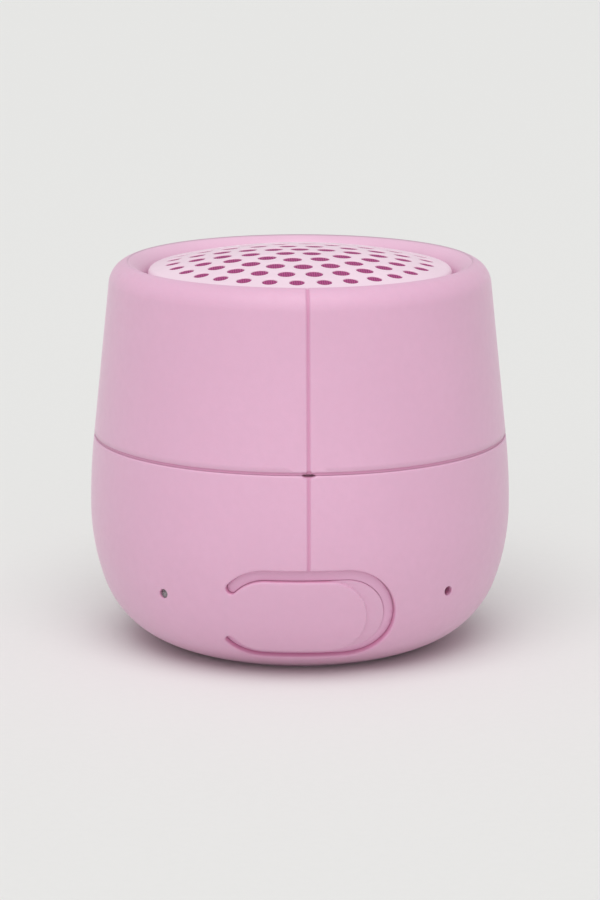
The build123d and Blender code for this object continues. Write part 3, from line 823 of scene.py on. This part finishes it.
def front_sheets(main, body, flap):
    """Fill the window, outside and inside, round the slot and the pinholes, with their walls."""
    bm = main.copy()
    inner = [edge for edge in bm.edges if not edge.is_boundary]
    bmesh.ops.delete(bm, geom=bm.faces[:], context="FACES_ONLY")
    bmesh.ops.delete(bm, geom=inner, context="EDGES")
    bmesh.ops.delete(bm, geom=[vert for vert in bm.verts if not vert.link_edges], context="VERTS")
    for vert in bm.verts:
        vert.co = flat_place(body, vert.co)
        vert.co.y = 0 if vert.co.y < body.skin / 2 else body.skin
    rims = {
        level: [edge for edge in bm.edges if abs(edge.verts[0].co.y - level) < 0.01]
        for level in (0, body.skin)}
    walls = [stacked_loops(
        bm, lambda grow: slot_outline(bm, flap, grow), wall_stages(flap.rounding, body.skin))]
    for side in (-1, 1):
        walls.append(stacked_loops(
            bm, lambda grow: pinhole_outline(bm, body, side, body.pinhole + grow),
            wall_stages(body.pinhole_rounding, body.skin)))

    def limit(place):
        near = abs(math.hypot(place.x - flap.pad_right, place.z - flap.height + flap.drop) - flap.radius)
        inside = math.hypot(place.x - flap.right, place.z - flap.height) < flap.radius
        return 0.1 if inside and near < 0.2 and place.x > flap.pad_right and place.y < 0.1 else 0.55

    for level, which in ((0, 0), (body.skin, -1)):
        fill_between(bm, rims[level] + [edge for group in walls for edge in group[which]], limit)
    # Painted shade down the walls of the slot and the pinholes, darker with depth, and a light painted shade
    # over the inner face.
    painted_shade = bm.verts.layers.float["painted_shade"]
    for vert in bm.verts:
        vert[painted_shade] = min(1, vert.co.y / 0.4) if vert.co.y < body.skin - 0.01 else 0.2
    return bm


def part_flap(bm, body, flap):
    """Cut the sheets across the neck between the slot's ends, and take the flap's side out."""
    top, low = math.degrees(flap.top_end), math.degrees(flap.bottom_end)
    ends = [(top, 90), (low, -90)]

    cuts = []
    for level, grow in ((0, flap.rounding), (body.skin, flap.rounding / 2)):
        upper, lower = (slot_tip(flap, angle, onward, grow) for angle, onward in ends)
        line = (upper - lower).normalized()
        normal = Vector((line.z, 0, -line.x))
        faces = [
            face for face in bm.faces
            if all(abs(vert.co.y - level) < 0.01 for vert in face.verts)
            and lower.z - 0.05 < face.calc_center_median().z < upper.z + 0.05
            and abs((face.calc_center_median() - lower).dot(normal)) < 1.5]
        made = bmesh.ops.bisect_plane(
            bm, geom=with_borders(faces), dist=0.002, plane_co=lower, plane_no=normal)
        cuts += [
            part for part in made["geom_cut"] if isinstance(part, bmesh.types.BMEdge)
            and lower.z - 0.02 < min(v.co.z for v in part.verts)
            and max(v.co.z for v in part.verts) < upper.z + 0.02]
    fence = set(cuts)
    marks = [
        slot_tip(flap, angle, onward, grow) + Vector((0, level, 0)) for angle, onward in ends
        for grow, level in wall_stages(flap.rounding, body.skin)]
    tips = {vert for vert in bm.verts if any((vert.co - mark).length < 0.01 for mark in marks)}
    if len(tips) != len(marks):
        raise RuntimeError(f"{len(tips)} slot tips found, not {len(marks)}")
    fence |= {edge for edge in bm.edges if edge.verts[0] in tips and edge.verts[1] in tips}
    middle = Vector((0, 0, flap.height))
    start = min(bm.faces, key=lambda face: (face.calc_center_median() - middle).length)
    found, queue = {start}, [start]
    while queue:
        for edge in queue.pop().edges:
            for face in edge.link_faces:
                if edge not in fence and face not in found:
                    found.add(face)
                    queue.append(face)
    bm.faces.index_update()
    chosen = {face.index for face in found}
    cut_out = bm.copy()
    cut_out.faces.ensure_lookup_table()
    for mesh, keep in ((bm, False), (cut_out, True)):
        gone = [face for face in mesh.faces if (face.index in chosen) != keep]
        bmesh.ops.delete(mesh, geom=gone, context="FACES")
    return cut_out


def close_cut(bm):
    """Close the cut across the neck."""
    edges = [edge for edge in bm.edges if edge.is_boundary]
    made = bmesh.ops.holes_fill(bm, edges=edges, sides=0)
    bmesh.ops.triangulate(bm, faces=made["faces"])
    bmesh.ops.recalc_face_normals(bm, faces=bm.faces)


def pad_step(flap, place):
    """How far the ledge lies under the pad at a place on the flap."""
    if place.x < flap.pad_right:
        return 0.0
    past = math.hypot(place.x - flap.pad_right, place.z - flap.height + flap.drop) - flap.radius
    part = min(1, max(0, (past + 0.08) / 0.2))
    return flap.ledge * part * part * (3 - 2 * part)


class SPEAKER_OT_lower_skin(bpy.types.Operator):
    """Make the lower skin and the flap that is moulded into it"""

    bl_idname = "speaker.lower_skin"
    bl_label = "Lower Skin and Flap"

    def execute(self, context):
        body, flap = sizes("body"), sizes("flap")
        skin = spun_lower_skin(body)
        open_front(skin, body)
        sheets = front_sheets(skin, body, flap)
        panel = part_flap(sheets, body, flap)
        for vert in sheets.verts:
            vert.co = lower_face(body, vert.co.x, vert.co.z, vert.co.y)
        joined = bpy.data.meshes.new("front_sheets")
        sheets.to_mesh(joined)
        skin.from_mesh(joined)
        bpy.data.meshes.remove(joined)
        sheets.free()
        bmesh.ops.remove_doubles(skin, verts=skin.verts, dist=0.003)
        close_cut(skin)
        score_lines(skin, body, flap.height + flap.radius + flap.slot, 2.5)
        finish_piece(skin, "soft_lower_skin", "housing", "skin", ["lower_skin"], sharp=50)

        for vert in panel.verts:
            base = pad_step(flap, vert.co)
            depth = base + min(vert.co.y, flap.thickness) * (flap.thickness - base) / flap.thickness
            vert.co = lower_face(body, vert.co.x, vert.co.z, depth)
        close_cut(panel)
        piece = finish_piece(panel, "soft_port_flap", "", "skin", ["port_flap"], sharp=50)
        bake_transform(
            piece, "housing", "flap", start=(flap.root * MM, 0, 0),
            end=((flap.root + flap.bend) * MM, 0, 0))
        return {"FINISHED"}


class SPEAKER_OT_slot_floor(bpy.types.Operator):
    """Make the raised floor between the slot's walls"""

    bl_idname = "speaker.slot_floor"
    bl_label = "Slot Floor"

    def execute(self, context):
        body, flap = sizes("body"), sizes("flap")
        bm = bmesh.new()
        gap, bevel = 0.04, 0.05
        loops = stacked_loops(bm, lambda grow: slot_outline(bm, flap, grow), (
            (-gap - 0.06, flap.floor), (-gap, flap.floor + bevel), (-gap, body.skin - gap / 2)))
        for loop in (loops[0], loops[-1]):
            fill_between(bm, loop, lambda place: 0.6, 4)
        for vert in bm.verts:
            vert.co = lower_face(body, vert.co.x, vert.co.z, vert.co.y)
        bmesh.ops.recalc_face_normals(bm, faces=bm.faces)
        tint = bpy.context.scene.shower_speaker.finishes.slot_floor
        finish_piece(
            bm, "slot_floor", "housing", "shell", sharp=40,
            surface=moulded("slot_floor_plastic", tint, 0.45, 2400, 0.00003))
        return {"FINISHED"}


class SPEAKER_OT_flap_plug(bpy.types.Operator):
    """Make the plug behind the flap, which seals the charging socket"""

    bl_idname = "speaker.flap_plug"
    bl_label = "Flap Plug"

    def execute(self, context):
        low, high = (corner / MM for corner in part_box("charging_socket"))
        body, flap = sizes("body"), sizes("flap")
        middle, height = (low.x + high.x) / 2, (low.z + high.z) / 2
        bm = bmesh.new()
        front = lower_face(body, middle, height, flap.thickness).y - 0.05

        def outline(grow):
            half, radius = 2.8, 0.85 + grow
            walk = Walk(bm, (middle - half, height - radius))
            walk.to(middle + half, height - radius, 6)
            walk.arc(radius, 0, 180, 14)
            walk.to(middle - half, height + radius, 6)
            walk.arc(radius, 180, 360, 14)
            return walk.close()

        loops = stacked_loops(bm, outline, (
            (0, front), (0, low.y + 0.25), (-0.12, low.y + 0.45), (-0.4, low.y + 0.55)))
        for loop in (loops[0], loops[-1]):
            bmesh.ops.holes_fill(bm, edges=loop, sides=0)
        bmesh.ops.recalc_face_normals(bm, faces=bm.faces)
        finish_piece(bm, "flap_plug", "flap", "skin", sharp=40)
        return {"FINISHED"}


# The rings of holes: radius in pitches, number of holes, first hole's angle from the front in
# degrees, and the holes' radius in millimetres
HOLE_RINGS = (
    (0, 1, 0, 1.2), (1, 6, 24.4, 1.2), (2, 12, -10.3, 1.2), (2.994, 18, 0, 1.2),
    (3.935, 24, 5.4, 1.1), (4.827, 30, -3.6, 0.95),
)


class SPEAKER_OT_grille(bpy.types.Operator):
    """Make the domed grille with its rings of holes"""

    bl_idname = "speaker.grille"
    bl_label = "Grille"

    def execute(self, context):
        grille = sizes("grille")
        bm = bmesh.new()

        def circle(radius, level, across=0.0, along=0.0, segments=24):
            made = bmesh.ops.create_circle(
                bm, radius=radius, segments=segments, matrix=Matrix.Translation((across, along, level)))
            return list(once(edge for vert in made["verts"] for edge in vert.link_edges))

        walls = []
        stages = rounded_edge(grille.hole_rounding) + [(0, grille.thickness)]
        for step, count, phase, radius in HOLE_RINGS:
            for number in range(count):
                turn, reach = math.radians(phase - 90 + 360 * number / count), step * grille.pitch
                across, along = reach * math.cos(turn), reach * math.sin(turn)
                loops = []
                for grow, level in stages:
                    loops.append(circle(radius + grow, level, across, along))
                    if len(loops) > 1:
                        bridge(bm, loops[-2], loops[-1])
                walls.append(loops)
        rims = [circle(grille.radius - grille.edge, 0, segments=180)]
        inner = circle(grille.radius - grille.skirt, grille.thickness, segments=180)
        for which, rim in ((0, rims[0]), (-1, inner)):
            edges = rim + [edge for loops in walls for edge in loops[which]]
            fill_between(bm, edges, lambda place: 0.8, 4)
        for shrink, level in rounded_edge(grille.edge)[1:]:
            rims.append(circle(grille.radius - shrink, level, segments=180))
            bridge(bm, rims[-2], rims[-1])
        for vert in bm.verts:
            reach = math.hypot(vert.co.x, vert.co.y)
            drop = grille.dome - math.sqrt(grille.dome ** 2 - reach ** 2)
            vert.co.z = grille.apex - drop - vert.co.z
        for radius in (grille.radius, grille.radius - grille.skirt):
            rims.append(circle(radius, grille.foot, segments=180))
            bridge(bm, rims[-2], rims[-1])
        bridge(bm, rims[-1], inner)
        bmesh.ops.recalc_face_normals(bm, faces=bm.faces)
        finish_piece(bm, "domed_grille", "housing", "grille", ["speaker_grille"], sharp=50)
        return {"FINISHED"}


SMOOTHED = (
    "upper_shell", "lower_shell", "foot_ring", "power_button", "button_seal", "housing_screws",
    "charging_socket", "socket_tongue", "port_gasket", "light_pipe", "microphone_boot", "grille_mesh",
)


class SPEAKER_OT_smooth_parts(bpy.types.Operator):
    """Make smooth copies of the shells, the foot ring, the button and the other hard parts that show"""

    bl_idname = "speaker.smooth_parts"
    bl_label = "Smooth Parts"

    def execute(self, context):
        grille = sizes("grille")
        for node in SMOOTHED:
            source = frame["nodes"][node]
            bm = bmesh.new()
            bm.from_mesh(source.data)
            bmesh.ops.scale(bm, vec=(1 / MM, 1 / MM, 1 / MM), verts=bm.verts)
            bmesh.ops.remove_doubles(bm, verts=bm.verts, dist=0.0015)
            bmesh.ops.dissolve_degenerate(bm, edges=bm.edges, dist=0.0005)
            if node == "grille_mesh":
                rise = grille.thickness - grille.cloth_depth
                bmesh.ops.translate(bm, verts=bm.verts, vec=(0, 0, rise))
            finish_piece(bm, "smooth_" + node, source["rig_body"], slot_of(node), [node], sharp=35)
        return {"FINISHED"}


def slot_of(node):
    return next(part["material_slot"] for part in frame["record"]["subparts"] if part["node"] == node)


class SPEAKER_OT_finish_parts(bpy.types.Operator):
    """Give every other part its finish"""

    bl_idname = "speaker.finish_parts"
    bl_label = "Finish Parts"

    def execute(self, context):
        for node, part in frame["nodes"].items():
            surface = finish_of(slot_of(node))
            part.data.materials.clear()
            part.data.materials.append(surface)
        return {"FINISHED"}


class SPEAKER_OT_stage(bpy.types.Operator):
    """Set up the floor, the backdrop, the lights and the camera"""

    bl_idname = "speaker.stage"
    bl_label = "Stage"

    def execute(self, context):
        stage = bpy.context.scene.shower_speaker.stage
        scene = bpy.context.scene
        bm = bmesh.new()
        bmesh.ops.create_grid(bm, x_segments=1, y_segments=1, size=6.0)
        mesh = bpy.data.meshes.new("studio_floor")
        bm.to_mesh(mesh)
        bm.free()
        tint = bpy.context.scene.shower_speaker.finishes.floor
        mesh.materials.append(studio_paper("studio_paper", tint))
        floor = bpy.data.objects.new("studio_floor", mesh)
        scene.collection.objects.link(floor)

        world = bpy.data.worlds.new("studio")
        scene.world = world
        world.use_nodes = True
        background = world.node_tree.nodes["Background"]
        background.inputs["Color"].default_value = (1, 1, 1, 1)
        background.inputs["Strength"].default_value = stage.world

        self.soft_light("from_above", stage.key, lean=24, turn=-8, spread=50)
        self.soft_light("from_front", stage.front, lean=68, turn=-8, spread=60)

        target = Vector((0, 0, stage.target))
        rise, turn = stage.elevation, stage.azimuth
        away = Vector((
            math.sin(turn) * math.cos(rise), -math.cos(turn) * math.cos(rise), math.sin(rise)))
        camera_data = bpy.data.cameras.new("camera")
        camera_data.lens = stage.lens
        camera_data.clip_start = 0.01
        camera = bpy.data.objects.new("camera", camera_data)
        camera.location = target + away * stage.distance
        camera.rotation_euler = (-away).to_track_quat("-Z", "Y").to_euler()
        scene.collection.objects.link(camera)
        scene.camera = camera
        scene.view_settings.view_transform = "Standard"
        return {"FINISHED"}

    def soft_light(self, name, strength, lean, turn, spread):
        """A broad, distant light, so many degrees from overhead and turned from the front."""
        light = bpy.data.lights.new(name, "SUN")
        light.energy = strength
        light.angle = math.radians(spread)
        lamp = bpy.data.objects.new(name, light)
        lamp.rotation_euler = (math.radians(lean), 0, math.radians(turn))
        bpy.context.scene.collection.objects.link(lamp)


OPERATORS = (
    SPEAKER_OT_finish_parts, SPEAKER_OT_upper_skin, SPEAKER_OT_lower_skin, SPEAKER_OT_slot_floor,
    SPEAKER_OT_flap_plug, SPEAKER_OT_grille, SPEAKER_OT_smooth_parts, SPEAKER_OT_stage,
)


class SPEAKER_PT_panel(bpy.types.Panel):
    """The speaker's pieces and their sizes"""

    bl_idname = "SPEAKER_PT_panel"
    bl_label = "Shower Speaker"
    bl_space_type = "VIEW_3D"
    bl_region_type = "UI"
    bl_category = "Speaker"

    def draw(self, context):
        for name, kind in GROUPS.items():
            box = self.layout.box()
            box.label(text=kind.__doc__)
            for key in kind.__annotations__:
                box.prop(getattr(context.scene.shower_speaker, name), key)
        for operator in OPERATORS:
            self.layout.operator(operator.bl_idname)


CLASSES = (*GROUPS.values(), SpeakerSettings, *OPERATORS, SPEAKER_PT_panel)


def register():
    for kind in CLASSES:
        bpy.utils.register_class(kind)
    bpy.types.Scene.shower_speaker = PointerProperty(type=SpeakerSettings)


def unregister():
    del bpy.types.Scene.shower_speaker
    for kind in reversed(CLASSES):
        bpy.utils.unregister_class(kind)


def main():
    register()
    for operator in OPERATORS:
        group, name = operator.bl_idname.split(".")
        getattr(getattr(bpy.ops, group), name)()
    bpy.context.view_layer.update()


if __name__ == "__main__":
    main()
